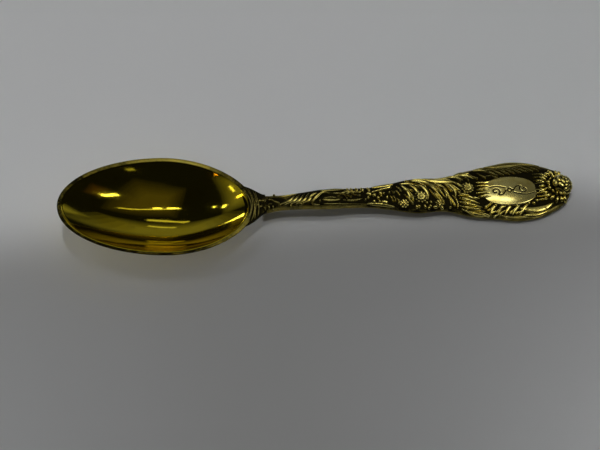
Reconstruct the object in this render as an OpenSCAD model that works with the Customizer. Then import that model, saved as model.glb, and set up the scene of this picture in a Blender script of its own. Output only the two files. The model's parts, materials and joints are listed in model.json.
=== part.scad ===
// Souvenir spoon: a gilt bowl on a cast handle with applied chrysanthemum flowers and leaves.
// Frame: +X runs from the bowl's lip to the finial, +Z is up, and Z = 0 is the table it rests on.
// Places on the handle are [u, v]: u is a percentage of the handle's length counted from the
// bowl's heel, and v is millimetres sideways from the centre line.

/* [Overall] */
// Length of the spoon from the lip to the end of the finial
spoon_l = 150; // [146:1:154]

/* [Bowl] */
// Length of the bowl from lip to heel
bowl_l = 56; // [54:0.5:58]
// Width of the bowl over its rim
bowl_w = 34.4; // [32:0.2:37]
// Depth of the bowl's outside below the plane of its rim
bowl_depth = 9.2; // [8.4:0.1:10]
// Thickness of the bowl's floor
bowl_wall = 1.1; // [0.9:0.1:1.4]
// Width of the rim's flat edge
rim_w = 1.2; // [0.9:0.1:1.4]
// Angle by which the rim's plane lifts towards the lip
bowl_pitch = 7; // [5:0.5:8]

/* [Handle] */
// Factor on all widths of the handle
handle_k = 1; // [0.95:0.01:1.05]
// Height to which the leaves stand proud of the handle
leaf_h = 0.55; // [0.45:0.05:0.7]

/* [Flowers] */
// Radius of the finial's button
button_r = 3.2; // [3:0.1:3.4]
// Radius of the large flower head, petals included
flower_r = 2; // [1.8:0.1:2.3]
// Ray petals round the finial
ray_count = 15; // [13:1:17]

/* [Hidden] */

gold = [0.72, 0.58, 0.16];
pale_gold = [0.70, 0.64, 0.34];
dark_gold = [0.40, 0.35, 0.14];

lip_x = -spoon_l / 2;
heel_x = lip_x + bowl_l;
handle_l = spoon_l / 2 - heel_x;

// ---------- curves ----------
function lerp(a, b, t) = a + (b - a) * t;
function span(table, u, i = 0) =
    (i >= len(table) - 2 || u < table[i + 1][0]) ? i : span(table, u, i + 1);
function slope(table, i, col) =
    let (a = max(i - 1, 0), b = min(i + 1, len(table) - 1))
    (table[b][col] - table[a][col]) / (table[b][0] - table[a][0]);
// Smooth curve through one column of a table of stations
function along(table, u, col) =
    let (i = span(table, u), step = table[i + 1][0] - table[i][0],
         t = min(max((u - table[i][0]) / step, 0), 1))
    (2 * t ^ 3 - 3 * t ^ 2 + 1) * table[i][col] + (t ^ 3 - 2 * t ^ 2 + t) * step * slope(table, i, col)
    + (3 * t ^ 2 - 2 * t ^ 3) * table[i + 1][col] + (t ^ 3 - t ^ 2) * step * slope(table, i + 1, col);
function bezier(a, b, c, t) = (1 - t) ^ 2 * a + 2 * t * (1 - t) * b + t ^ 2 * c;
function signed_power(x, p) = sign(x) * abs(x) ^ p;

// ---------- closed skins ----------
// Faces of a closed skin over rings of n points each, with a centre point at either end
function skin_faces(rings, n) = concat(
    [for (j = [0 : n - 1]) [0, 1 + (j + 1) % n, 1 + j]],
    [for (i = [0 : rings - 2], j = [0 : n - 1])
        let (a = 1 + i * n + j, b = 1 + i * n + (j + 1) % n) [a, b, b + n]],
    [for (i = [0 : rings - 2], j = [0 : n - 1])
        let (a = 1 + i * n + j, b = 1 + i * n + (j + 1) % n) [a, b + n, a + n]],
    [for (j = [0 : n - 1])
        let (s = 1 + (rings - 1) * n) [s + n, s + j, s + (j + 1) % n]]);
function middle(ring) = [for (k = [0 : 2]) total(ring, k) / len(ring)];
function total(ring, k, i = 0) = i >= len(ring) ? 0 : ring[i][k] + total(ring, k, i + 1);
module skin(rings) {
    n = len(rings[0]);
    polyhedron(
        points = concat([middle(rings[0])], [for (r = rings) each r], [middle(rings[len(rings) - 1])]),
        faces = skin_faces(len(rings), n), convexity = 4);
}

// ---------- bowl ----------
bowl_lip_share = 0.546;                      // part of the bowl's length in front of its widest place
bowl_mid_x = lip_x + bowl_l * bowl_lip_share;
heel_power = 1.85;                           // fullness of the outline towards the heel
floor_power = 2.2;                           // fullness of the bowl's section
heel_land = 1.5;                             // how many times wider the rim is at the heel's end
rest_x = bowl_mid_x + 0.21 * (heel_x - bowl_mid_x);  // the lowest place of the pitched bowl
land_depth = 0.12;                           // how far wear has flattened the underside
land_share = 0.1;                            // size of the flattened land
bowl_sides = 60;
bowl_rings = 8;

function rim_z(x) = tan(bowl_pitch) * (bowl_mid_x - x);
function outline_power(x) = x > bowl_mid_x ? heel_power : 2;
function outline_reach(x, inset) =
    x > bowl_mid_x ? heel_x - bowl_mid_x - heel_land * inset : bowl_mid_x - lip_x - inset;
function outline(angle, inset) =
    let (side = bowl_mid_x + cos(angle), power = 2 / outline_power(side))
    [bowl_mid_x + outline_reach(side, inset) * signed_power(cos(angle), power),
     (bowl_w / 2 - inset) * signed_power(sin(angle), power)];
// 0 at the bowl's middle and 1 on its outline
function out_share(x, y, inset) =
    let (power = outline_power(x))
    ((abs(x - bowl_mid_x) / outline_reach(x, inset)) ^ power
     + (abs(y) / (bowl_w / 2 - inset)) ^ power) ^ (1 / power);
function hollow_z(x, y, inset, depth) =
    rim_z(x) - depth * (1 - min(out_share(x, y, inset), 1) ^ floor_power);
rim_lift = -hollow_z(rest_x, 0, 0, bowl_depth) - land_depth;
function bowl_z(x, y, inset, depth) = max(hollow_z(x, y, inset, depth) + rim_lift, 0);
function bowl_ring(share, inset, depth) =
    [for (j = [0 : bowl_sides - 1])
        let (edge = outline(360 * j / bowl_sides, inset), x = lerp(rest_x, edge[0], share),
             y = edge[1] * share)
        [x, y, bowl_z(x, y, inset, depth)]];
bowl_shares = [for (i = [0 : bowl_rings]) lerp(land_share, 1, (i / bowl_rings) ^ 0.85)];
bowl_inner = [for (s = bowl_shares) bowl_ring(s, rim_w, bowl_depth - bowl_wall)];
bowl_outer = [for (i = [bowl_rings : -1 : 0]) bowl_ring(bowl_shares[i], 0, bowl_depth)];
module bowl() {
    color(gold) skin(concat(bowl_inner, bowl_outer));
}
// The bowl with its hollow filled, which shapes what is soldered against it
module bowl_block() {
    skin(bowl_outer);
}

// ---------- handle ----------
// Handle stations: [u %, half width, height of the edge's middle, half edge thickness, crown, belly]
STATIONS = [
    [2.0, 2.95, 5.60, 1.10, 0.35, 0.30],
    [7.4, 2.20, 5.90, 1.25, 0.35, 0.30],
    [14.5, 2.50, 6.05, 1.15, 0.45, 0.35],
    [21.5, 3.10, 6.00, 1.10, 0.50, 0.40],
    [34.5, 3.15, 5.00, 1.00, 0.55, 0.45],
    [42.0, 4.30, 4.40, 0.90, 0.75, 0.50],
    [50.0, 5.85, 3.80, 0.80, 0.95, 0.55],
    [58.5, 5.60, 3.15, 0.75, 1.00, 0.60],
    [67.0, 8.05, 2.50, 0.70, 1.15, 0.70],
    [74.0, 9.15, 2.05, 0.65, 1.30, 0.85],
    [81.5, 10.30, 1.70, 0.65, 1.35, 1.00],
    [89.0, 9.20, 1.50, 0.65, 1.30, 1.00],
    [95.5, 6.20, 1.60, 0.70, 1.05, 0.80],
    [98.2, 3.40, 1.75, 0.70, 0.60, 0.50]];
crown_power = 2.4;                           // fullness of the front of the handle's section
back_power = 3;                              // fullness of its back
core_steps = 40;
core_top = 10;                               // facets across the front of the handle
core_back = 6;                               // facets across its back
core_start = STATIONS[0][0];
core_end = STATIONS[len(STATIONS) - 1][0];

function at_x(u) = heel_x + u * handle_l / 100;
function half_w(u) = handle_k * along(STATIONS, u, 1);
function side_share(u, v) = min(abs(v) / half_w(u), 1);
function top_z(u, v) =
    along(STATIONS, u, 2) + along(STATIONS, u, 3)
    + along(STATIONS, u, 4) * (1 - side_share(u, v) ^ crown_power);
function back_z(u, v) =
    max(along(STATIONS, u, 2) - along(STATIONS, u, 3)
        - along(STATIONS, u, 5) * (1 - side_share(u, v) ^ back_power), 0);
function on_top(p, lift = 0) = [at_x(p[0]), p[1], top_z(p[0], p[1]) + lift];
// A place a step of [dx, dy] millimetres away from p
function beside(p, dx, dy) = [p[0] + dx * 100 / handle_l, p[1] + dy];
function core_ring(u) = concat(
    [for (j = [0 : core_top]) let (v = -half_w(u) * cos(180 * j / core_top)) [at_x(u), v, top_z(u, v)]],
    [for (j = [0 : core_back]) let (v = half_w(u) * cos(180 * j / core_back)) [at_x(u), v, back_z(u, v)]]);
module core_block() {
    skin([for (i = [0 : core_steps]) core_ring(lerp(core_start, core_end, i / core_steps))]);
}
module handle_core() {
    color(dark_gold) core_block();
}

// ---------- cartouche ----------
plate_start = 71.3;
plate_end = 87.8;
plate_half_w = 5.2;
plate_shift = -1;                            // of its middle, sideways
plate_lift = 0.3;
plate_steps = 14;
plate_across = 8;
function plate_ring(t) =
    let (u = lerp(plate_start, plate_end, t), w = max(plate_half_w * sin(180 * t) ^ 0.3, 2.2))
    concat(
        [for (j = [0 : plate_across]) on_top([u, plate_shift + lerp(-w, w, j / plate_across)], plate_lift)],
        [for (j = [0 : plate_across]) on_top([u, plate_shift + lerp(w, -w, j / plate_across)], -plate_lift)]);
module plate_block() {
    skin([for (i = [0 : plate_steps]) plate_ring(i / plate_steps)]);
}

// ---------- flowers ----------
// Profile of a flower head from its middle outwards: [share of its radius, height, scallop]
HEAD = [[0.18, 0.80, 0], [0.40, 0.60, 0], [0.50, 0.30, 0], [0.76, 0.52, 0.05],
        [1.00, 0.15, 0.11], [0.97, -0.50, 0.11]];
FLOWERS = [                                  // [place, part of flower_r, petals]
    [[51.5, -1.6], 0.90, 11],                // large
    [[66.6, 0.9], 0.90, 11],                 // upper
    [[46.1, -3.5], 0.62, 8],                 // small
    [[57.0, -3.9], 0.58, 8]];                // side
points_per_petal = 4;
module flower_block(i) {
    flower = FLOWERS[i];
    n = flower[2] * points_per_petal;
    skin([for (h = HEAD)
        [for (j = [0 : n - 1])
            let (r = flower_r * flower[1] * h[0] * (1 + h[2] * cos(360 * flower[2] * j / n)))
            on_top(beside(flower[0], r * cos(360 * j / n), r * sin(360 * j / n)), h[1])]]);
}

// ---------- leaves ----------
leaf_fn = 8;                                 // facets of the little spheres that shape a leaf
leaf_steps = 3;
// One leaf: a tapered rib on the front of the handle along the curve a, b, c, with half width w
module leaf(a, b, c, w = 0.55) {
    for (i = [0 : leaf_steps - 1]) {
        hull() {
            for (t = [i, i + 1] / leaf_steps) {
                translate(on_top(bezier(a, b, c, t), leaf_h * (0.6 + 0.4 * sin(180 * t)) - w)) {
                    sphere(r = 0.15 + w * (0.30 + 0.70 * sin(22 + 143 * t)), $fn = leaf_fn);
                }
            }
        }
    }
}
// A spray of n leaves that change evenly from the first leaf's curve to the last one's
module spray(n, first, last, w = 0.55) {
    for (i = [0 : n - 1]) {
        curve = lerp(first, last, i / (n - 1));
        leaf(curve[0], curve[1], curve[2], w);
    }
}
// What is soldered on the front of the handle ends at the handle, the plate and the flowers
module soldered_leaves() {
    color(pale_gold) {
        difference() {
            union() {
                children();
            }
            core_block();
            plate_block();
            for (i = [0 : len(FLOWERS) - 1]) flower_block(i);
        }
    }
}
module stem_leaves() {
    soldered_leaves() {
        spray(6, [[6, -1.1], [9, -0.6], [11.5, 1.0]], [[17, -1.6], [20, -0.6], [22.5, 1.8]]);
        spray(3, [[24, 0.9], [28, 1.9], [32, 0.1]], [[28, 1.6], [32, 2.2], [36, 0.6]], 0.45);
        leaf([20, 0.1], [24, 0.2], [28, 0.3], 0.4);
    }
}
module sprig_buds() {
    buds = [[37, -0.5], [39, 0.9], [41, -0.2], [39.8, -1.6], [42.5, 1.0]];
    soldered_leaves() {
        spray(3, [[35.5, 2.2], [36, 2.5], [36.5, 2.7]], [[38.5, 2.4], [39, 2.7], [39.5, 3.0]], 0.4);
        for (bud = buds) {
            leaf(bud - [0.8, 0.3], bud, bud + [0.8, 0.4], 0.5);
        }
        leaf([39.5, 2.0], [42.5, 2.6], [45.5, 3.2], 0.45);
    }
}
module swirl_leaves() {
    soldered_leaves() {
        spray(4, [[47, 3.8], [51, 4.2], [55, 1.4]], [[53, 4.4], [59, 4.0], [62.5, 0.6]]);
        spray(3, [[47, 1.4], [50, 0.2], [51, -2.4]], [[46, -0.6], [48.5, -2.0], [50, -3.8]], 0.45);
        spray(5, [[55.5, 2.0], [58.5, 0.2], [60.5, -3.4]], [[61.5, 3.0], [64, 0.6], [63.5, -4.0]]);
    }
}
module far_border_leaves() {
    soldered_leaves() {
        spray(7, [[64, 4.8], [67, 5.6], [71, 3.4]], [[77, 8.4], [84, 8.4], [90, 5.2]], 0.7);
    }
}
module near_border_leaves() {
    soldered_leaves() {
        spray(6, [[66.5, -2.0], [70, -3.0], [74, -3.6]], [[67.5, -5.8], [73, -7.2], [79, -8.2]], 0.6);
        spray(6, [[75, -6.2], [78, -5.8], [81, -5.0]], [[84, -7.6], [88, -6.8], [91.5, -4.8]], 0.6);
    }
}

// ---------- what the leaves are cut to ----------
module on_handle(tint) {
    color(tint) {
        difference() {
            children();
            core_block();
        }
    }
}
module cartouche_plate() {
    on_handle(gold) plate_block();
}
module flower_large() {
    on_handle(gold) flower_block(0);
}
module flower_upper() {
    on_handle(gold) flower_block(1);
}
module flower_small() {
    on_handle(gold) flower_block(2);
}
module flower_side() {
    on_handle(gold) flower_block(3);
}

// ---------- finial ----------
button_place = [96.8, 0];
button_tilt = 32;
button_reach = 1.06;                         // how far its knobs stand out of its middle, in radii
button_knobs = 9;
button_seat = STATIONS[len(STATIONS) - 1][2];  // behind the handle's end nothing of it reaches lower
ray_spread = 98;                             // the petals reach this far round on either side
ray_start = 3.3;                             // from the button's middle to the petals' feet
ray_reach = 7.4;                             // and to the tip of the middle petal
ray_shrink = 0.28;                           // how much shorter the outermost petals are
function ray_place(angle, far) = beside(button_place, -far * cos(angle), far * sin(angle));
module button_block() {
    translate([spoon_l / 2 - button_r * button_reach, 0, button_r]) rotate([0, button_tilt, 0]) {
        scale([1, 1.04, 0.86]) sphere(r = button_r, $fn = 28);
        for (i = [0 : button_knobs - 1]) {
            rotate(360 / button_knobs * i) hull() {
                translate(button_r * [0.50, 0, 0.72]) sphere(r = 0.4, $fn = leaf_fn);
                translate(button_r * [0.78, 0, 0.50]) sphere(r = 0.4, $fn = leaf_fn);
            }
        }
    }
}
module finial_button() {
    on_handle(gold) {
        difference() {
            button_block();
            translate([heel_x, -button_r, 0]) cube([at_x(core_end) - heel_x, 2 * button_r, button_seat]);
        }
    }
}
module finial_petals() {
    color(pale_gold) {
        difference() {
            for (i = [0 : ray_count - 1]) {
                angle = ray_spread * (2 * i / (ray_count - 1) - 1);
                reach = ray_reach * (1 - ray_shrink * (angle / ray_spread) ^ 2);
                hull() {
                    translate(on_top(ray_place(angle, ray_start), 0.1)) sphere(r = 0.55, $fn = leaf_fn);
                    translate(on_top(ray_place(angle, reach), -0.1)) sphere(r = 0.45, $fn = leaf_fn);
                }
            }
            core_block();
            plate_block();
            button_block();
        }
    }
}

// ---------- heel ----------
// The joint between bowl and handle is split at this height: collar above it, drop below
joint_z = STATIONS[0][2];
// Both pieces: [x beyond the heel, half width, height of top or bottom]
COLLAR = [[-2.2, 7.1, 6.90], [-1.1, 6.6, 6.95], [0.0, 5.8, 7.00], [1.3, 4.3, 7.15], [2.8, 3.0, 7.25]];
DROP = [[-7.0, 1.2, 1.9], [-5.6, 3.0, 2.2], [-3.6, 3.7, 2.7], [-1.6, 3.7, 3.2],
        [0.0, 3.4, 3.6], [1.2, 3.0, 3.9], [2.6, 2.6, 4.1]];
joint_across = 8;
collar_edge = 0.7;
drop_edge = 0.35;
collar_ribs = 6;
// A ring with a flat side at joint_z and a rounded side at the station's height; edge is the part
// of that height which is left at the ring's sides
function joint_arc(station, flip, edge) =
    [for (j = [0 : joint_across])
        let (v = -station[1] * cos(180 * j / joint_across))
        [heel_x + station[0], v * flip,
         joint_z + (station[2] - joint_z) * (1 - (1 - edge) * abs(v / station[1]) ^ crown_power)]];
function joint_flat(station, flip) =
    [for (j = [0 : joint_across])
        [heel_x + station[0], flip * station[1] * cos(180 * j / joint_across), joint_z]];
module joint_body(table, flip, edge) {
    skin([for (s = table) concat(joint_arc(s, flip, edge), joint_flat(s, flip))]);
}
module collar_block() {
    joint_body(COLLAR, 1, collar_edge);
    for (i = [0 : collar_ribs - 1]) {
        x = lerp(COLLAR[0][0] + 0.3, 1.9, i / (collar_ribs - 1));
        w = along(COLLAR, x, 1) - 0.5;
        z = along(COLLAR, x, 2);
        hull() {
            for (side = [-1, 0, 1]) {
                translate([heel_x + x - 0.3 * abs(side), side * w, z - 0.55 * abs(side)]) {
                    sphere(r = 0.3, $fn = leaf_fn);
                }
            }
        }
    }
}
module heel_collar() {
    color(pale_gold) {
        difference() {
            collar_block();
            bowl_block();
            core_block();
        }
    }
}
module heel_drop() {
    color(dark_gold) {
        difference() {
            joint_body(DROP, -1, drop_edge);
            bowl_block();
            core_block();
        }
    }
}

bowl();
heel_drop();
heel_collar();
handle_core();
stem_leaves();
sprig_buds();
swirl_leaves();
far_border_leaves();
near_border_leaves();
cartouche_plate();
flower_large();
flower_upper();
flower_small();
flower_side();
finial_petals();
finial_button();
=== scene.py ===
"""The souvenir spoon's looks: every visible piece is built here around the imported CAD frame.

Places on the handle are (d, v) in millimetres: d from the bowl's heel towards the finial, and v
sideways from the centre line. Heights over the handle are in millimetres too.
"""
import json
import math

import bmesh
import bpy
import numpy as np
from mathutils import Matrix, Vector

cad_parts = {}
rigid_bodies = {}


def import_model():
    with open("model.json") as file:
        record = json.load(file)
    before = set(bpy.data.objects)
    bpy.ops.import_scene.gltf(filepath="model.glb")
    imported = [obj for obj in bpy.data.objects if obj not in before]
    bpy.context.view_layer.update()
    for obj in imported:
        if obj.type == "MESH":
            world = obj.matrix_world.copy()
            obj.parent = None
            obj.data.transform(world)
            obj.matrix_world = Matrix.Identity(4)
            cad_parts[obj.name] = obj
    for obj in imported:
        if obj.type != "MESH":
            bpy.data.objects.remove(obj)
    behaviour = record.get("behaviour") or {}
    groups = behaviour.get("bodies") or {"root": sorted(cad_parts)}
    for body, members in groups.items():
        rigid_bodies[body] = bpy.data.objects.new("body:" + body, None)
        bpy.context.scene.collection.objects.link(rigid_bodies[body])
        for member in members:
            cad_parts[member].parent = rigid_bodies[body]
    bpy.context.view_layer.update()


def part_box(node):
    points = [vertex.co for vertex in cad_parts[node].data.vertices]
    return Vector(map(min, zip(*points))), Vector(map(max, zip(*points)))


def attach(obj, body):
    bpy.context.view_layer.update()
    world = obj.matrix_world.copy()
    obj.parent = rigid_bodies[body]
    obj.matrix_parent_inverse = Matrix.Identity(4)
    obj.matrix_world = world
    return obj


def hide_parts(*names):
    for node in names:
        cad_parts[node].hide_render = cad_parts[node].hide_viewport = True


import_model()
MM = 0.001

# ------------ sizes from the frame
BOWL_LOW, BOWL_HIGH = (np.array(corner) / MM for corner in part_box("bowl"))
BUTTON_LOW, BUTTON_HIGH = (np.array(corner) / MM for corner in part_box("finial_button"))
LIP_X = BOWL_LOW[0]
HEEL_X = BOWL_HIGH[0]
HALF_BOWL = BOWL_HIGH[1]
RIM_TOP = BOWL_HIGH[2]
END_X = -LIP_X
HANDLE_L = END_X - HEEL_X

# The bowl's form, as the CAD model has it
MID_SHARE = 0.546  # of the bowl's length, from the lip to its widest place
HEEL_POWER = 1.85
HEEL_LAND = 1.5  # how many times wider the rim is at the heel's end
FLOOR_POWER = 2.2
PITCH = math.radians(7)
BOWL_DEPTH = 9.2
BOWL_WALL = 1.1
RIM_W = 1.2
MID_X = LIP_X + (HEEL_X - LIP_X) * MID_SHARE
RIM_MID_Z = RIM_TOP - math.tan(PITCH) * (MID_X - LIP_X)

# Handle stations, as the CAD model has them:
# u %, half width, height of the edge's middle, half edge thickness, crown, belly
STATIONS = np.array([
    [2.0, 2.95, 5.60, 1.10, 0.35, 0.30],
    [7.4, 2.20, 5.90, 1.25, 0.35, 0.30],
    [14.5, 2.50, 6.05, 1.15, 0.45, 0.35],
    [21.5, 3.10, 6.00, 1.10, 0.50, 0.40],
    [34.5, 3.15, 5.00, 1.00, 0.55, 0.45],
    [42.0, 4.30, 4.40, 0.90, 0.75, 0.50],
    [50.0, 5.85, 3.80, 0.80, 0.95, 0.55],
    [58.5, 5.60, 3.15, 0.75, 1.00, 0.60],
    [67.0, 8.05, 2.50, 0.70, 1.15, 0.70],
    [74.0, 9.15, 2.05, 0.65, 1.30, 0.85],
    [81.5, 10.30, 1.70, 0.65, 1.35, 1.00],
    [89.0, 9.20, 1.50, 0.65, 1.30, 1.00],
    [95.5, 6.20, 1.60, 0.70, 1.05, 0.80],
    [98.2, 3.40, 1.75, 0.70, 0.60, 0.50]])
CROWN_POWER = 2.4
BACK_POWER = 3
CORNER_SHARE = 0.7  # the handle's corner radius, as a share of half its edge's thickness
STEEPEST = 1.6  # slope beyond which ornaments lean out no further


# ------------ curves and fields
def hermite(t, step, a, b, slope_a, slope_b):
    """A cubic from a to b over one step, with those slopes at its ends."""
    return ((2 * t**3 - 3 * t**2 + 1) * a + (t**3 - 2 * t**2 + t) * step * slope_a
            + (3 * t**2 - 2 * t**3) * b + (t**3 - t**2) * step * slope_b)


def along(column, d):
    """The station table's column at distance d, by a smooth curve through the stations."""
    u = np.asarray(d, float) / HANDLE_L * 100
    knots, values = STATIONS[:, 0], STATIONS[:, column]
    i = np.clip(np.searchsorted(knots, u, side="right") - 1, 0, len(knots) - 2)
    before, after = np.maximum(i - 1, 0), np.minimum(i + 2, len(knots) - 1)
    step = knots[i + 1] - knots[i]
    slope_a = (values[i + 1] - values[before]) / (knots[i + 1] - knots[before])
    slope_b = (values[after] - values[i]) / (knots[after] - knots[i])
    t = np.clip((u - knots[i]) / step, 0, 1)
    return hermite(t, step, values[i], values[i + 1], slope_a, slope_b)


def table_curve(table, column, at):
    """A smooth curve through one column of a small table, whose first column is the place."""
    knots, values = table[:, 0], table[:, column]
    slopes = np.gradient(values, knots)
    i = np.clip(np.searchsorted(knots, at, side="right") - 1, 0, len(knots) - 2)
    step = knots[i + 1] - knots[i]
    t = np.clip((at - knots[i]) / step, 0, 1)
    return hermite(t, step, values[i], values[i + 1], slopes[i], slopes[i + 1])


def corner_drop(v, half, radius):
    """How far a rounded corner of that radius falls below the sharp one."""
    c = np.clip((np.abs(v) - (half - radius)) / radius, 0, 1)
    return radius * (1 - np.sqrt(1 - c**2))


def face_z(d, v, way, crown, power):
    """Height of the handle's front (way 1) or back (way -1), domed by the table's crown column."""
    half, edge = along(1, d), along(3, d)
    share = np.clip(np.abs(v) / half, 0, 1)
    dome = along(crown, d) * (1 - share**power)
    drop = corner_drop(np.clip(v, -half, half), half, edge * CORNER_SHARE)
    return along(2, d) + way * (edge + dome - drop)


def top_z(d, v):
    return face_z(d, v, 1, 4, CROWN_POWER)


def back_z(d, v):
    return np.maximum(face_z(d, v, -1, 5, BACK_POWER), 0)


def handle_surface(d, v):
    """Places and outward normals on the front of the handle, in millimetres."""
    step = 0.08
    z = top_z(d, v)
    slope_d = (top_z(d + step, v) - top_z(d - step, v)) / (2 * step)
    slope_v = (top_z(d, v + step) - top_z(d, v - step)) / (2 * step)
    steep = np.maximum(np.hypot(slope_d, slope_v) / STEEPEST, 1)
    normal = np.stack([-slope_d / steep, -slope_v / steep, np.ones_like(z)], -1)
    normal /= np.linalg.norm(normal, axis=-1, keepdims=True)
    return np.stack([d + HEEL_X, v, z], -1), normal


def smooth_path(points, count):
    """count places on a smooth curve through the points, and the unit vectors across it."""
    p = np.array(points, float)
    p = np.vstack([2 * p[0] - p[1], p, 2 * p[-1] - p[-2]])
    spans = len(p) - 3
    s = np.linspace(0, spans, count)
    i = np.minimum(s.astype(int), spans - 1)
    t = (s - i)[:, None]
    a, b, c, e = p[i], p[i + 1], p[i + 2], p[i + 3]
    place = 0.5 * (2 * b + (c - a) * t + (2 * a - 5 * b + 4 * c - e) * t**2
                   + (3 * b - a - 3 * c + e) * t**3)
    tangent = np.gradient(place, axis=0)
    tangent /= np.linalg.norm(tangent, axis=1, keepdims=True) + 1e-9
    return place, np.stack([-tangent[:, 1], tangent[:, 0]], -1)


# ------------ meshes
def full_turn(count):
    return np.linspace(0, 2 * math.pi, count, endpoint=False)


def ring_faces(rings, n, joined=False):
    """Faces between each ring of n points and the next, and round to the first if they are joined."""
    spans = rings if joined else rings - 1
    corners = [(i, (i + 1) % rings, j, (j + 1) % n) for i in range(spans) for j in range(n)]
    return [(a * n + j, a * n + k, b * n + k, b * n + j) for a, b, j, k in corners]


def skin(rings):
    """Points and faces of a closed skin over rings of equal length, with a fan at either end."""
    rings = np.asarray(rings, float)
    count, n = rings.shape[:2]
    points = np.vstack([rings.reshape(-1, 3), rings[0].mean(0), rings[-1].mean(0)])
    faces = ring_faces(count, n)
    first, last = count * n, count * n + 1
    for j in range(n):
        k = (j + 1) % n
        faces.append((first, k, j))
        faces.append((last, (count - 1) * n + j, (count - 1) * n + k))
    return points, faces


def make_piece(name, points, faces, material, node, relief=None):
    """A smooth piece in the frame, riding on the spoon's one body in place of a CAD node."""
    mesh = bpy.data.meshes.new(name)
    mesh.from_pydata((np.asarray(points) * MM).tolist(), [], faces)
    mesh.validate()
    solid = bmesh.new()
    solid.from_mesh(mesh)
    bmesh.ops.recalc_face_normals(solid, faces=solid.faces)
    solid.to_mesh(mesh)
    solid.free()
    mesh.polygons.foreach_set("use_smooth", [True] * len(mesh.polygons))
    if relief is not None:
        layer = mesh.attributes.new("relief", "FLOAT", "POINT")
        layer.data.foreach_set("value", np.asarray(relief, np.float32))
    piece = bpy.data.objects.new(name, mesh)
    bpy.context.scene.collection.objects.link(piece)
    mesh.materials.append(material)
    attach(piece, "root")
    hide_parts(node)
    return piece


# ------------ relief
CELL = 0.12  # of the height map that finds the recesses, in millimetres
MAP_V = 12.0  # from the centre line to its sides
MAP_MARGIN = 4  # beyond the handle's ends
MAP_SHAPE = (int((HANDLE_L + 2 * MAP_MARGIN) / CELL), int(2 * MAP_V / CELL))
height_map = np.zeros(MAP_SHAPE)


def map_cells(d, v):
    i = np.clip(((np.asarray(d) + MAP_MARGIN) / CELL).astype(int), 0, MAP_SHAPE[0] - 1)
    j = np.clip(((np.asarray(v) + MAP_V) / CELL).astype(int), 0, MAP_SHAPE[1] - 1)
    return i, j


def blurred(grid, radius):
    """The grid after two passes of a box blur each way, radius in cells."""
    for axis in (0, 1):
        for _ in range(2):
            pad = [(0, 0), (0, 0)]
            pad[axis] = (radius + 1, radius)
            total = np.cumsum(np.pad(grid, pad, mode="edge"), axis=axis)
            size = 2 * radius + 1
            ahead = np.take(total, range(size, total.shape[axis]), axis=axis)
            behind = np.take(total, range(0, total.shape[axis] - size), axis=axis)
            grid = (ahead - behind) / size
    return grid


# The forms of a blade: t runs from its base at 0 to its tip at 1, and s across it from -1 to 1
WIDTHS = {
    "leaf": lambda t: np.sin(np.pi * (0.04 + 0.94 * t**0.85)) ** 0.8,
    "comet": lambda t: (0.30 + 0.70 * t**1.1) * np.sqrt(1 - np.clip((t - 0.8) / 0.205, 0, 1) ** 2),
    "blade": lambda t: np.sin(np.pi * (0.05 + 0.9 * t)) ** 0.55,
    "bud": lambda t: np.sqrt(np.clip(1 - (2 * t - 1) ** 2, 0.004, 1)),
    "petal": lambda t: (0.45 + 0.55 * t) * np.sqrt(1 - np.clip((t - 0.7) / 0.305, 0, 1) ** 2.5),
}
HEIGHTS = {
    "leaf": lambda t: 0.45 + 0.55 * np.sin(np.pi * t) ** 0.7,
    "comet": lambda t: (0.40 + 0.60 * t) * np.sqrt(1 - np.clip((t - 0.86) / 0.16, 0, 1) ** 2),
    "blade": lambda t: np.sin(np.pi * (0.08 + 0.84 * t)) ** 0.6,
    "bud": lambda t: np.sqrt(np.clip(1 - (2 * t - 1) ** 2, 0.02, 1)),
    "petal": lambda t: (0.55 + 0.45 * t) * np.sqrt(1 - np.clip((t - 0.88) / 0.16, 0, 1) ** 2),
}
SECTIONS = {
    "ridge": lambda s: 0.18 + 0.82 * (1 - np.abs(s) ** 1.5),
    "fold": lambda s: 0.25 + 0.75 * (1 - s**2) - 0.38 * np.exp(-((s / 0.2) ** 2)),
    "cup": lambda s: 0.35 + 0.65 * (1 - np.abs(s) ** 5) * (0.55 + 0.45 * np.abs(s) ** 1.5),
    "round": lambda s: np.sqrt(np.clip(1 - s**2, 0, 1)),
}
ROOT_DEPTH = 0.35  # how far a blade's sides run down into what carries it
ACROSS = 11  # points across a blade's top
MIN_HALF_W = 0.03
RELIEF_SPAN = 0.7  # the height difference between darkest and brightest
LEVEL_AROUND = 0.25  # the height taken to be around ornaments off the map


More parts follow.
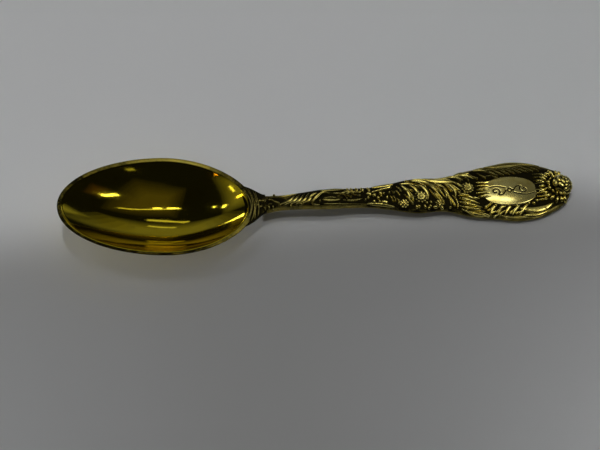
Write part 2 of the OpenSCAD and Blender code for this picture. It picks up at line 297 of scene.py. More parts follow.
class Relief:
    """The raised ornament of one node, gathered as closed blades on a surface."""

    def __init__(self, surface=handle_surface, mapped=True):
        self.surface = surface
        self.mapped = mapped
        self.points, self.faces, self.places, self.heights = [], [], [], []
        self.count = 0

    def add(self, points, faces, places, heights):
        self.points.append(points)
        self.faces += [tuple(i + self.count for i in face) for face in faces]
        self.places.append(places)
        self.heights.append(heights)
        self.count += len(points)

    def add_skin(self, points, faces, height):
        """A plain closed skin that stands at one height."""
        self.add(points, faces, points[:, :2] - [HEEL_X, 0], np.full(len(points), height))

    def add_rings(self, d, v, h):
        """Closed skin over rings of (d, v) at heights h; each array is rings by points."""
        place, normal = self.surface(d, v)
        points, faces = skin(place + normal * h[..., None])
        all_d, all_v, all_h = (np.append(a.ravel(), [a[0].mean(), a[-1].mean()]) for a in (d, v, h))
        self.add(points, faces, np.stack([all_d, all_v], -1), all_h)
        if self.mapped:
            np.maximum.at(height_map, map_cells(d, v), h)

    def blade(self, path, half_w, height, form="leaf", section="ridge", base=0.0, count=22):
        """One leaf or petal along a path; base lifts it all."""
        t = np.linspace(0, 1, count)
        place, side = smooth_path(path, count)
        width = np.maximum(half_w * WIDTHS[form](t), MIN_HALF_W)
        rise = height * HEIGHTS[form](t)
        s = np.linspace(-1, 1, ACROSS)
        top_h = base + rise[:, None] * SECTIONS[section](s)[None]
        spots = place[:, None] + side[:, None] * (width[:, None] * s)[..., None]
        foot_h = np.full((count, 2), -ROOT_DEPTH)
        foot = spots[:, [-1, 0]]
        spots = np.concatenate([spots, foot], 1)[:, ::-1]
        heights = np.concatenate([top_h, foot_h], 1)[:, ::-1]
        self.add_rings(spots[..., 0], spots[..., 1], heights)

    def fan(self, number, first, last, half_w, height, **style):
        """number blades whose paths change evenly from the first one to the last one."""
        first, last = np.array(first, float), np.array(last, float)
        for i in range(number):
            share = i / (number - 1)
            self.blade(first + (last - first) * share, half_w, height, **style)

    def bud(self, centre, length, half_w, height, angle=0.0, **style):
        turn = math.radians(angle)
        reach = np.array([math.cos(turn), math.sin(turn)]) * length / 2
        centre = np.array(centre, float)
        self.blade([centre - reach, centre, centre + reach], half_w, height, form="bud",
                   section="round", count=13, **style)

    def relief(self, blurred_map):
        """0 in the recesses to 1 on the ridges, for each point."""
        place, height = np.concatenate(self.places), np.concatenate(self.heights)
        around = LEVEL_AROUND if blurred_map is None else blurred_map[map_cells(place[:, 0], place[:, 1])]
        return np.clip(0.5 + (height - around) / RELIEF_SPAN, 0, 1)

    def build(self, name, material, node, slot, blurred_map=None):
        return make_piece(name, np.concatenate(self.points), self.faces, material, node,
                          self.relief(blurred_map))


# ------------ bowl
def bowl_power(x):
    """The outline's power: 2, an ellipse, towards the lip, and less, so more pointed, at the heel."""
    return np.where(x > MID_X, HEEL_POWER, 2.0)


def bowl_reach(x, inset):
    return np.where(x > MID_X, HEEL_X - MID_X - HEEL_LAND * inset, MID_X - LIP_X - inset)


def rim_z(x):
    return RIM_MID_Z + math.tan(PITCH) * (MID_X - x)


def hollow_z(x, y, inset, depth):
    """Height of a bowl of that depth, whose outline lies that far inside the rim's."""
    power = bowl_power(x)
    share = ((np.abs(x - MID_X) / bowl_reach(x, inset)) ** power
             + (np.abs(y) / (HALF_BOWL - inset)) ** power) ** (1 / power)
    return rim_z(x) - depth * (1 - np.minimum(share, 1) ** FLOOR_POWER)


def bowl_outline(angle, inset):
    """Places round the bowl at those angles, which start at the heel and turn by the far side."""
    c, s = np.cos(angle), np.sin(angle)
    x_side = np.where(c > 0, MID_X + 1, MID_X - 1)
    power = 2 / bowl_power(x_side)
    return (MID_X + bowl_reach(x_side, inset) * np.sign(c) * np.abs(c) ** power,
            (HALF_BOWL - inset) * np.sign(s) * np.abs(s) ** power)


def bowl_rings(inset, depth, shares):
    """Rings round the place where the bowl rests, each at a share of the way to the outline."""
    edge_x, edge_y = bowl_outline(full_turn(BOWL_SIDES), inset)
    rings = []
    for share in shares:
        x = REST_X + (edge_x - REST_X) * share
        y = edge_y * share
        rings.append(np.stack([x, y, np.maximum(hollow_z(x, y, inset, depth), 0)], -1))
    return rings


REST_SHARE = 0.21  # from the widest place to the heel, where the bowl rests
REST_X = MID_X + REST_SHARE * (HEEL_X - MID_X)
BOWL_SIDES = 220
RIM_STEPS = 7  # round the rim's edge
RIM_CROWN = 0.16  # how far the rim's rounded top stands above its edges


def rim_arc(swell=0.0):
    """The rim's rounded section as (inset, lift), from its inner edge outwards, swollen by that much."""
    return [(RIM_W * (1 + math.cos(t)) / 2 + swell * math.cos(t), swell + RIM_CROWN * math.sin(t) ** 0.7)
            for t in np.linspace(0, math.pi, RIM_STEPS + 2)]


def bowl_shell(material):
    """The polished bowl, inside and outside."""
    shares = np.linspace(0.03, 1, 46) ** 0.85
    inner = bowl_rings(RIM_W, BOWL_DEPTH - BOWL_WALL, shares)
    outer = bowl_rings(0, BOWL_DEPTH, shares[::-1])
    rim = []
    for inset, lift in rim_arc()[1:-1]:
        x, y = bowl_outline(full_turn(BOWL_SIDES), inset)
        rim.append(np.stack([x, y, rim_z(x) + lift], -1))
    points, faces = skin(inner + rim + outer)
    return make_piece("bowl_shell", points, faces, material, "bowl")


RIM_SKIN = 0.05  # how far the satin edging stands out from the rim under it
BAND_WIDTH, BAND_SWAY = 0.82, 0.18  # its width as a share of the rim's, and how that grows to the far side
# Painted light and shade round the rim, by angle: brighter on the far side and the near right, darker at the
# lip and the near side; 0 is the heel, 90 the far side, 180 the lip, 270 the near side
RIM_PAINTED_LIGHT = np.array([
    [0, 0.22], [45, 0.24], [62, 0.50], [95, 0.42], [130, 0.19], [180, 0.13], [240, 0.11],
    [285, 0.15], [315, 0.26], [335, 0.36], [350, 0.26], [360, 0.22]])


def bowl_rim(material):
    """The satin edging along the bowl's rim: a low rounded band, closed on itself, with light and shade
    painted round it by angle.
    """
    sides = 2 * BOWL_SIDES
    angle = full_turn(sides)
    section = rim_arc(RIM_SKIN) + [(-RIM_SKIN, -RIM_CROWN), (RIM_W + RIM_SKIN, -RIM_CROWN)]
    points = []
    for inset, lift in section:
        x, y = bowl_outline(angle, inset * (BAND_WIDTH + BAND_SWAY * np.sin(angle)))
        points.append(np.stack([x, y, rim_z(x) + lift], -1))
    # painted light and shade: the rim's brightness by angle, carried in the relief share
    relief = np.tile(table_curve(RIM_PAINTED_LIGHT, 1, np.degrees(angle)), len(section))
    return make_piece("bowl_rim_band", np.concatenate(points), ring_faces(len(section), sides, joined=True),
                      material, "bowl", relief)


# ------------ handle
CORE_RINGS = 420
CORE_TOP, CORE_BACK = 72, 48  # points across its front and its back
EDGE_FROM, EDGE_WIDTH = 0.86, 0.08  # where its rubbed edge starts, as a share of its half width
EDGE_TONE, RECESS_TONE, BACK_TONE = 0.28, 0.9, 0.52
# How far the ground between the leaves is rubbed bright along the handle: distance, share
GROUND_TONES = np.array([[0, 0.30], [28, 0.30], [32, 0.12], [64, 0.14], [72, 0.28], [86, 0.24], [94, 0.2]])


def handle_body(material, blurred_map):
    """The handle itself, dark where the ornaments stand close round it."""
    start, end = (STATIONS[i, 0] * HANDLE_L / 100 for i in (0, -1))
    rings = []
    for d in np.linspace(start, end, CORE_RINGS):
        half = float(along(1, d))
        v_top = -half * np.cos(np.linspace(0, math.pi, CORE_TOP))
        v_back = half * np.cos(np.linspace(0, math.pi, CORE_BACK))
        z = np.concatenate([top_z(d, v_top), back_z(d, v_back)])
        v = np.concatenate([v_top, v_back])
        rings.append(np.stack([np.full_like(v, d + HEEL_X), v, z], -1))
    points, faces = skin(rings)
    on_top = np.append(np.tile(np.arange(CORE_TOP + CORE_BACK) < CORE_TOP, CORE_RINGS), [True, True])
    d = points[:, 0] - HEEL_X
    around = blurred_map[map_cells(d, points[:, 1])]
    edge = np.clip((np.abs(points[:, 1]) / along(1, d) - EDGE_FROM) / EDGE_WIDTH, 0, 1)
    tone = np.interp(d, GROUND_TONES[:, 0], GROUND_TONES[:, 1])
    relief = np.where(on_top, np.clip(tone + EDGE_TONE * edge - RECESS_TONE * around, 0, 1), BACK_TONE)
    return make_piece("handle_body", points, faces, material, "handle_core", relief)


# ------------ heel
JOINT_Z = 5.6
# Collar and drop: distance, half width, height
COLLAR = np.array([[-1.1, 7.2, 6.85], [-0.5, 6.9, 6.95], [0.3, 6.0, 7.00], [1.3, 4.6, 7.15],
                   [2.8, 3.1, 7.25], [3.4, 2.9, 7.30]])
COLLAR_EDGE = 0.7  # the part of the collar's height that is left at its sides
COLLAR_RELIEF = 0.05  # the height its ground counts as, so that it stays dark
DROP = np.array([[-7.0, 1.2, 1.9], [-5.6, 3.0, 2.2], [-3.6, 3.7, 2.7], [-1.6, 3.7, 3.2],
                 [0.0, 3.4, 3.6], [1.2, 3.0, 3.9], [2.6, 2.6, 4.1]])
DROP_EDGE = 0.35
DROP_TONE = 0.6
RIBS = [-0.95, -0.5, 0.0, 0.55, 1.15]  # distances
RIB_WAVE = 0.16


def heel_shift(v, d):
    """How far the collar's near end bends back along the bowl's outline at v."""
    share = (np.abs(v) / HALF_BOWL) ** HEEL_POWER
    bend = (HEEL_X - MID_X) * (1 - (1 - share) ** (1 / HEEL_POWER))
    return -bend * np.clip((COLLAR[-1, 0] - d) / (COLLAR[-1, 0] - COLLAR[0, 0]), 0, 1)


def joint_rings(table, flip, edge, rings=40, across=36, hugs=False):
    """Rings from the joint's plane out to the table's heights; hugs bends them along the bowl's outline."""
    out = []
    for d in np.linspace(table[0, 0], table[-1, 0], rings):
        half, z = float(table_curve(table, 1, d)), float(table_curve(table, 2, d))
        v = -half * np.cos(np.linspace(0, math.pi, across))
        arc_z = JOINT_Z + (z - JOINT_Z) * (1 - (1 - edge) * np.abs(v / half) ** CROWN_POWER)
        shift = heel_shift(v, d) if hugs else np.zeros(across)
        wall_z = hollow_z(d + HEEL_X, v, 0, BOWL_DEPTH) + BOWL_WALL / 3
        flat_z = np.full(across, JOINT_Z) if hugs else np.minimum(JOINT_Z, wall_z)
        arc_z = arc_z if hugs else np.minimum(arc_z, flat_z - 0.02)
        flat = np.stack([d + HEEL_X + shift, -flip * v, flat_z[::-1]], -1)
        arc = np.stack([d + HEEL_X + shift, flip * v, arc_z], -1)
        out.append(np.concatenate([arc, flat]))
    return out


def collar_surface(d, v):
    """Places and outward normals on the collar."""
    half, z = table_curve(COLLAR, 1, d), table_curve(COLLAR, 2, d)
    share = np.clip(np.abs(v) / half, 0, 1)
    top = JOINT_Z + (z - JOINT_Z) * (1 - (1 - COLLAR_EDGE) * share**CROWN_POWER)
    place = np.stack([d + HEEL_X + heel_shift(v, d), v, top], -1)
    normal = np.stack([np.zeros_like(d), v / half * 0.5, np.ones_like(d)], -1)
    return place, normal / np.linalg.norm(normal, axis=-1, keepdims=True)


def heel_collar(material):
    """The plate over the joint, crossed by wavy ribs that follow the bowl's outline."""
    points, faces = skin(joint_rings(COLLAR, 1, COLLAR_EDGE, hugs=True))
    ribs = Relief(collar_surface, mapped=False)
    ribs.add_skin(points, faces, COLLAR_RELIEF)
    for i, d in enumerate(RIBS):
        half = float(table_curve(COLLAR, 1, d)) - 0.3
        wave = RIB_WAVE * (-1) ** i
        path = [(d + 0.1, -half), (d + wave, -half * 0.5), (d, 0), (d - wave, half * 0.5), (d + 0.1, half)]
        ribs.blade(path, 0.19, 0.30, section="round", count=34)
    for d, v, angle in [(0.1, -0.6, 70), (0.6, 0.5, 60), (1.0, -0.8, 70), (1.7, 0.5, 40),
                        (1.8, -1.5, 20), (2.4, 0.3, 10)]:
        ribs.bud((d, v), 1.0, 0.30, 0.40, angle=angle)
    return ribs.build("heel_collar_cast", material, "heel_collar", "handle_gilt")


def heel_drop(material):
    """The tongue under the bowl's heel."""
    points, faces = skin(joint_rings(DROP, -1, DROP_EDGE, rings=60, across=40))
    relief = np.full(len(points), DROP_TONE)
    return make_piece("heel_drop_cast", points, faces, material, "heel_drop", relief)


# ------------ leaves and buds
def draw(relief, rows, **style):
    """Blades from rows of (path, half width, height)."""
    for path, half_w, height in rows:
        relief.blade(path, half_w, height, **style)


def add_buds(relief, rows, half_w, height):
    """Small round buds from rows of (d, v, length, angle)."""
    for d, v, length, angle in rows:
        relief.bud((d, v), length, half_w, height, angle=angle)


def stem_leaves():
    """The wrapped leaves that climb the slender stem."""
    r = Relief()
    r.fan(5, [(6.6, -1.9), (8.8, -1.2), (10.6, -0.2), (12.2, 1.4)],
          [(13.2, -2.2), (15.0, -1.4), (16.4, -0.2), (17.4, 1.7)], 0.52, 0.30)
    r.fan(4, [(25.0, 0.4), (26.4, 1.4), (27.4, 2.6)], [(30.4, 0.8), (31.4, 1.8), (32.2, 2.8)], 0.38, 0.24)
    draw(r, [
        ([(3.6, 1.9), (8.4, 1.3), (12.8, 1.8)], 0.45, 0.22),
        ([(19.4, 2.2), (23.4, 2.5), (26.6, 2.5)], 0.50, 0.16),
        ([(19.8, -2.5), (25.8, -2.8), (33.4, -2.9)], 0.22, 0.08),
        ([(19.6, -1.1), (22.6, -1.4), (25.0, -1.2)], 0.45, 0.12),
        ([(25.6, -1.5), (28.6, -1.7), (31.4, -1.2)], 0.40, 0.16),
        ([(25.6, 1.3), (28.6, 1.2), (31.6, 0.6)], 0.42, 0.30),
        ([(22.6, 0.9), (24.6, 0.8), (26.2, 0.9)], 0.40, 0.30)])
    draw(r, [
        ([(16.4, -1.9), (17.5, -0.9), (18.8, 0.3), (20.3, 1.2), (21.7, 0.9)], 0.62, 0.75),
        ([(16.0, -0.4), (17.0, 0.6), (18.4, 1.2)], 0.45, 0.5)], section="fold")
    draw(r, [
        ([(4.8, 0.6), (6.0, -0.3), (7.2, -1.2)], 0.55, 0.45),
        ([(3.2, -1.6), (4.0, -1.2), (4.9, -0.9)], 0.34, 0.5),
        ([(18.7, -2.6), (17.6, -2.5), (16.4, -2.0)], 0.40, 0.45),
        ([(20.0, -0.7), (21.8, -0.6), (23.9, -0.9)], 0.52, 0.5),
        ([(25.2, 0.8), (26.8, -0.1), (28.4, -0.9)], 0.48, 1.0),
        ([(25.4, 0.6), (26.3, -0.6), (26.8, -1.7)], 0.44, 1.0),
        ([(28.2, 0.8), (29.5, -0.1), (30.7, -0.6)], 0.42, 0.55)], form="comet")
    add_buds(r, [
        (3.1, -0.2, 0.9, 20), (4.5, 0.2, 1.0, 0), (2.9, -2.2, 0.8, 60), (4.1, -2.0, 1.1, 10),
        (5.3, -2.0, 0.7, 0), (5.9, 1.7, 0.8, 0), (7.4, -1.6, 0.8, 60), (13.4, -2.0, 1.2, 0),
        (18.9, -1.6, 1.0, 80), (32.1, -1.7, 1.0, 80), (30.6, -0.4, 0.9, 60),
        (10.4, -2.1, 0.9, 10)], 0.42, 0.7)
    return r


def sprig_buds():
    """The sprig of round buds and the leaf above it."""
    r = Relief()
    for d in (27.4, 28.5, 30.0, 31.6, 33.5):
        r.blade([(d - 0.3, 2.8), (d, 2.0), (d + 0.3, 0.9)], 0.45, 0.42)
    draw(r, [
        ([(34.6, 2.7), (37.6, 3.1), (41.0, 3.8)], 0.5, 0.32),
        ([(32.6, -2.8), (36.6, -3.3), (40.4, -4.2)], 0.36, 0.36)], form="blade", section="round", count=30)
    for d, v, length, half_w, angle in [
            (33.4, 0.1, 1.5, 0.60, -20), (34.9, -0.5, 1.0, 0.52, 30), (35.9, -1.4, 0.95, 0.5, 20),
            (36.8, 0.1, 1.1, 0.5, 0), (36.9, -0.8, 0.7, 0.36, 0), (37.7, 0.0, 0.6, 0.34, 0),
            (34.6, -2.4, 1.0, 0.45, 60), (37.7, -2.8, 1.8, 0.58, 0), (38.5, -1.4, 1.0, 0.36, 80),
            (36.2, -2.5, 0.8, 0.34, 0), (33.0, -1.2, 0.8, 0.34, 0), (39.4, 0.2, 0.7, 0.3, 60)]:
        r.bud((d, v), length * 1.2, half_w * 1.2, 0.66, angle=angle, base=0.10)
    draw(r, [
        ([(34.3, 0.8), (36.4, 1.4), (38.4, 1.9), (40.4, 2.5)], 0.66, 0.68),
        ([(39.5, -0.8), (40.0, -1.9), (40.0, -2.9)], 0.42, 0.68),
        ([(40.4, -0.7), (40.9, -1.9), (40.7, -3.0)], 0.40, 0.66),
        ([(40.2, 1.1), (40.5, 0.6), (40.7, 0.0)], 0.32, 0.5),
        ([(41.4, 1.0), (42.0, 0.2), (42.4, -0.9)], 0.34, 0.4),
        ([(41.8, 2.6), (42.6, 1.7), (43.0, 0.6)], 0.36, 0.42),
        ([(41.4, -1.6), (41.9, -2.6), (41.6, -3.6)], 0.30, 0.35)], form="comet")
    return r


def swirl_leaves():
    """The swirl of narrow leaves round the large flower and on to the wide part."""
    r = Relief()
    r.fan(7, [(43.2, 3.0), (44.6, 1.4), (45.2, -0.8), (44.8, -3.0)],
          [(57.6, 4.4), (60.6, 2.2), (61.6, 0.2), (61.4, -2.0)], 0.50, 0.26)
    r.fan(5, [(46.4, 5.0), (49.4, 4.6), (51.6, 3.4)], [(59.4, 6.6), (63.0, 6.0), (65.2, 4.2)], 0.55, 0.30)
    draw(r, [
        ([(45.1, 4.5), (47.4, 3.9), (49.4, 2.8), (50.8, 1.3)], 0.52, 0.65),
        ([(45.9, 2.9), (47.3, 2.4), (48.7, 1.5)], 0.46, 0.55),
        ([(49.6, 3.7), (52.2, 2.4), (54.3, 0.5), (55.5, -2.1)], 0.42, 0.45),
        ([(54.6, 2.4), (56.1, 0.2), (56.8, -2.3), (57.0, -4.7)], 0.40, 0.45),
        ([(52.6, -0.2), (53.8, -2.5), (54.2, -4.6)], 0.38, 0.40),
        ([(50.6, 4.9), (55.4, 4.0), (59.0, 3.2)], 0.80, 0.45),
        ([(46.6, 5.3), (52.0, 5.3), (58.2, 5.4)], 0.36, 0.32),
        ([(42.8, 3.6), (45.6, 3.5), (48.6, 1.9)], 0.42, 0.32)])
    draw(r, [
        ([(43.7, 1.5), (45.0, 0.4), (45.9, -1.2), (46.1, -3.0)], 0.52, 0.80),
        ([(44.8, 1.7), (45.7, 1.0), (46.6, 0.5)], 0.44, 0.65),
        ([(43.6, -0.4), (44.5, -1.5), (45.3, -2.8), (46.0, -4.0)], 0.46, 0.70),
        ([(51.3, 1.1), (52.0, -0.4), (52.9, -2.2)], 0.44, 0.75),
        ([(51.9, 1.9), (53.0, 0.4), (54.2, -2.0), (55.1, -4.3)], 0.54, 0.80),
        ([(52.0, 3.0), (53.9, 1.9), (55.7, 1.1)], 0.60, 0.80),
        ([(55.9, 2.9), (57.0, 1.5), (57.9, -0.4)], 0.46, 0.78),
        ([(57.8, 2.8), (58.9, 1.3), (60.3, -0.5)], 0.58, 0.92),
        ([(56.0, -0.6), (57.2, -2.5), (57.8, -4.1), (58.0, -5.2)], 0.52, 0.85),
        ([(57.8, -1.4), (58.7, -3.1), (58.9, -4.7), (58.6, -5.8)], 0.46, 0.78),
        ([(59.3, 3.4), (60.2, 2.1), (61.2, 1.2)], 0.42, 0.60),
        ([(59.0, 0.6), (59.9, -0.6), (60.3, -1.9)], 0.38, 0.5)], form="comet")
    add_buds(r, [
        (46.8, -4.7, 1.3, 90), (47.5, -4.6, 1.1, 90), (49.2, -4.7, 1.4, 100), (50.3, -5.1, 0.9, 0),
        (50.8, -4.5, 0.9, 50), (52.3, -4.9, 1.4, 0), (54.2, -5.1, 1.2, 0), (56.6, -5.2, 0.8, 70),
        (44.9, 4.5, 1.0, 20), (49.9, -3.6, 0.8, 60), (51.2, -3.4, 0.8, 70)], 0.44, 0.6)
    return r


def far_border_leaves():
    """The leaves along the far side of the wide part, long and smooth towards the finial."""
    r = Relief()
    r.fan(8, [(66.4, 7.6), (69.6, 7.0), (72.4, 4.7)], [(76.4, 9.2), (81.2, 8.4), (84.8, 5.8)], 0.50, 0.58,
          form="comet", count=34)
    r.fan(6, [(69.0, 8.7), (72.6, 8.4), (75.0, 6.8)], [(79.4, 9.4), (83.0, 8.6), (85.6, 6.6)], 0.38, 0.38,
          count=30)
    r.fan(4, [(82.6, 4.6), (84.4, 4.5), (86.0, 4.3)], [(82.6, 1.2), (84.4, 1.1), (86.0, 1.0)], 0.40, 0.62,
          form="comet")
    draw(r, [
        ([(59.2, 5.9), (61.6, 6.7), (64.2, 6.7)], 0.85, 0.5),
        ([(64.8, 7.7), (67.4, 7.7), (69.8, 6.9)], 0.55, 0.5)])
    draw(r, [
        ([(59.6, 5.2), (60.4, 4.2), (60.9, 3.2)], 0.52, 0.68),
        ([(61.2, 5.3), (62.7, 4.7), (63.5, 3.2)], 0.54, 0.82),
        ([(63.6, 6.2), (64.9, 4.9), (66.2, 3.9)], 0.56, 0.85),
        ([(66.2, 6.5), (67.4, 5.1), (68.6, 3.8)], 0.62, 0.95),
        ([(68.4, 4.9), (70.5, 4.8), (72.2, 3.7)], 0.56, 0.8),
        ([(68.2, 6.9), (69.8, 6.3), (71.2, 5.5)], 0.46, 0.6)], form="comet")
    draw(r, [
        ([(65.6, 8.2), (70.0, 9.0), (76.0, 9.8), (81.0, 9.4), (85.4, 8.2)], 0.36, 0.42)], form="blade",
        section="round", count=44)
    return r


def near_border_leaves():
    """The short broken leaves along the near side of the wide part."""
    r = Relief()
    r.fan(5, [(60.4, -0.8), (62.8, -2.2), (64.8, -3.4)], [(60.8, -6.6), (64.0, -7.8), (67.2, -8.6)],
          0.52, 0.30)
    r.fan(5, [(70.6, -5.0), (69.0, -6.4), (67.8, -8.4)], [(79.6, -5.6), (78.0, -7.2), (76.4, -9.2)],
          0.52, 0.32)
    r.fan(4, [(82.6, -1.1), (84.4, -1.1), (86.0, -1.0)], [(82.4, -4.6), (84.0, -4.6), (85.6, -4.4)],
          0.40, 0.62, form="comet")
    draw(r, [
        ([(59.4, -1.6), (61.1, -1.7), (62.8, -1.8)], 0.46, 0.78),
        ([(59.7, -2.5), (61.3, -3.3), (63.0, -3.8)], 0.54, 0.80),
        ([(59.6, -3.7), (62.0, -4.7), (64.4, -5.5)], 0.54, 0.74),
        ([(61.0, -5.5), (63.4, -6.2), (65.6, -6.8)], 0.54, 0.80),
        ([(59.8, -6.0), (61.6, -6.9), (63.2, -7.8)], 0.42, 0.55),
        ([(63.4, -6.9), (65.8, -7.8), (67.8, -8.6)], 0.46, 0.58),
        ([(59.4, -4.9), (60.6, -5.4), (61.8, -6.2)], 0.36, 0.45),
        ([(65.6, -3.0), (64.6, -2.8), (63.6, -2.6)], 0.50, 0.62),
        ([(69.6, -4.6), (68.0, -5.2), (66.5, -6.3)], 0.66, 0.95),
        ([(69.6, -6.2), (68.4, -6.6), (67.2, -7.0)], 0.44, 0.76),
        ([(70.4, -7.3), (69.0, -7.6), (67.7, -7.9)], 0.44, 0.74),
        ([(70.8, -8.4), (69.8, -8.6), (68.7, -8.9)], 0.36, 0.55),
        ([(73.0, -5.9), (71.2, -6.7), (69.7, -7.8)], 0.46, 0.82),
        ([(73.0, -7.2), (71.6, -7.8), (70.5, -8.6)], 0.44, 0.76),
        ([(71.0, -8.7), (72.0, -9.1), (72.9, -9.5)], 0.40, 0.5),
        ([(76.2, -6.7), (74.8, -7.5), (73.6, -8.4)], 0.52, 0.66),
        ([(78.0, -7.8), (76.6, -8.2), (75.2, -8.6)], 0.52, 0.82),
        ([(75.6, -9.3), (77.0, -9.6), (78.4, -9.7)], 0.38, 0.66)], form="comet")
    draw(r, [
        ([(69.6, 2.6), (67.4, 2.3), (65.1, 2.5)], 0.50, 0.40),
        ([(69.2, 1.2), (67.2, 1.1), (64.9, 1.2)], 0.48, 0.42),
        ([(69.0, -0.1), (67.0, -0.1), (65.0, -0.1)], 0.48, 0.42),
        ([(69.2, -1.4), (67.2, -1.3), (64.7, -1.3)], 0.50, 0.44),
        ([(69.4, -2.7), (67.2, -2.6), (65.2, -2.4)], 0.44, 0.38)], base=0.34)
    draw(r, [
        ([(76.8, -6.9), (80.6, -7.9), (84.4, -7.3), (87.0, -5.8)], 1.05, 0.40),
        ([(77.6, -9.2), (81.4, -9.3), (85.4, -8.1)], 0.60, 0.36)], count=36)
    add_buds(r, [
        (69.9, -5.6, 1.0, 30), (73.7, -5.9, 0.8, 20), (75.0, -5.6, 1.1, 30), (76.2, -6.1, 1.0, 80),
        (79.8, -5.5, 0.9, 50), (81.2, -5.6, 1.1, 0), (82.3, -4.8, 1.0, 70), (79.0, -7.6, 0.7, 0),
        (84.4, -7.3, 0.8, 0)], 0.44, 0.62)
    return r


# ------------ flowers
FLOWER_R = 2.0  # of a flower whose size is 1
CORE_SHARE = 0.26  # the beaded middle's radius, as a share of the flower's
CORE_BASE = 0.62
GOLDEN_ANGLE = math.pi * (3 - math.sqrt(5))


def flower(centre, size, petals, beads, turn, swirl=42):
    """A chrysanthemum head: curled petals in two tiers round a beaded middle."""
    r = Relief()
    centre = np.array(centre, float)
    radius = FLOWER_R * size
    spread = 2 * math.pi / petals
    # Tiers: number, inner and outer radius, half width, height, base, swirl in degrees
    for number, inner, outer, half_w, height, base, curl in [
            (petals, radius * 0.50, radius, radius * spread * 0.34, 0.34, 0.12, swirl),
            (petals - 3, radius * 0.26, radius * 0.62, radius * spread * 0.30, 0.40, 0.46, swirl * 1.5)]:
        for i in range(number):
            radii = np.linspace(inner, outer, 3)
            angles = turn + 2 * math.pi * i / number + np.radians(curl) * (radii - inner) / (outer - inner)
            path = centre + np.stack([np.cos(angles), np.sin(angles)], -1) * radii[:, None]
            r.blade(path, half_w, height, form="petal", section="cup", base=base, count=16)
        turn += math.pi / number
    core = radius * CORE_SHARE
    r.bud(centre, 2 * core, core, core * 0.5, base=CORE_BASE)
    for i in range(beads):
        share = 0.9 * math.sqrt((i + 0.5) / beads)
        spot = centre + core * share * np.array([math.cos(i * GOLDEN_ANGLE), math.sin(i * GOLDEN_ANGLE)])
        lift = CORE_BASE + core * 0.5 * math.sqrt(1 - share**2) - 0.05
        r.bud(spot, core * 0.5, core * 0.25, core * 0.28, base=lift)
    return r


# ------------ cartouche
PLATE_START, PLATE_END = 0.713 * HANDLE_L, 0.878 * HANDLE_L
PLATE_HALF = 5.2
PLATE_SHIFT = -1.0  # of its middle, sideways
PLATE_LIFT = 0.3
PLATE_CROWN = 0.12  # how far its middle rises over its sides
PLATE_ROLL = 0.25  # how far its sides roll down at their edge
PLATE_END_HALF = 1.9
PILLOW = 0.32  # how far its middle rises over its ends
GROOVE_W = 0.21
GROOVE_DEEP = 0.07


def scroll_paths():
    """A generic engraved flourish: mirrored S scrolls on either side of a small lozenge."""
    mid = (PLATE_START + PLATE_END) / 2
    paths = []
    for way in (-1, 1):
        turns = np.linspace(0, 2.1 * math.pi, 44)
        radius = 1.35 * (1 - turns / (2.6 * math.pi))
        coil = np.stack([mid + way * (4.2 + radius * np.cos(turns + 2.2)),
                         way * (0.15 + radius * np.sin(turns + 2.2))], -1)
        lead = np.linspace(0, 1, 24)[:, None]
        start = np.array([mid + way * 1.1, way * -0.1])
        swing = np.array([mid + way * 2.2, way * 1.9])
        sweep = (1 - lead) ** 2 * start + 2 * lead * (1 - lead) * swing + lead**2 * coil[0]
        paths.append(np.vstack([sweep, coil]))
        tail = np.linspace(0, 1, 30)
        tail_v = way * (-0.9 - 0.75 * np.sin(math.pi * tail))
        paths.append(np.stack([mid + way * (1.2 + 6.2 * tail), tail_v], -1))
    corners = np.array([(mid - 0.8, 0), (mid, 0.75), (mid + 0.8, 0), (mid, -0.75), (mid - 0.8, 0)])
    paths.append(np.vstack([np.linspace(a, b, 8) for a, b in zip(corners, corners[1:])]))
    return paths


def cartouche(material):
    """The smooth pillowed plate with its engraved flourish cut in as grooves."""
    marks = np.vstack(scroll_paths())
    steps, across = ((200, 96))
    rings, relief = [], []
    for t in np.linspace(0, 1, steps):
        half = max(PLATE_HALF * math.sin(math.pi * t) ** 0.3, PLATE_END_HALF)
        d = PLATE_START + (PLATE_END - PLATE_START) * t
        share = np.abs(np.linspace(-1, 1, across))
        v = PLATE_SHIFT + np.linspace(-half, half, across)
        near = np.hypot(marks[:, 0][:, None] - d, PLATE_SHIFT + marks[:, 1][:, None] - v[None]).min(0)
        groove = np.exp(-((near / GROOVE_W) ** 2))
        lift = PLATE_LIFT + PLATE_CROWN * (1 - share**4) * math.sin(math.pi * t)
        lift = lift + PILLOW * (1 - (2 * t - 1) ** 2)
        lift = lift - PLATE_ROLL * np.clip((share - 0.9) / 0.1, 0, 1) ** 2 - groove * GROOVE_DEEP
        place, normal = handle_surface(np.full_like(v, d), v)
        under = place - normal * PLATE_LIFT
        rings.append(np.concatenate([place + normal * lift[:, None], under[::-1]]))
        relief.append(np.concatenate([np.clip(0.92 - 1.3 * groove, 0, 1), np.full(across, 0.3)]))
        np.maximum.at(height_map, map_cells(np.full_like(v, d), v), np.full_like(v, PLATE_LIFT + 0.1))
    points, faces = skin(rings)
    return make_piece("cartouche_engraved", points, faces, material, "cartouche_plate",
                      np.append(np.concatenate(relief), [0.6, 0.6]))


# ------------ finial
BUTTON_D = 90.6  # the middle of the rings of petals
RAY_SPREAD = 88  # degrees to either side
RAY_SHRINK = 0.26  # how much shorter the outermost petals are
# Tiers of petals: number, inner and outer radius, half width, height, base
RAY_TIERS = [(15, 5.0, 7.6, 0.50, 0.85, 0.0), (11, 3.5, 4.7, 0.60, 0.80, 0.2)]


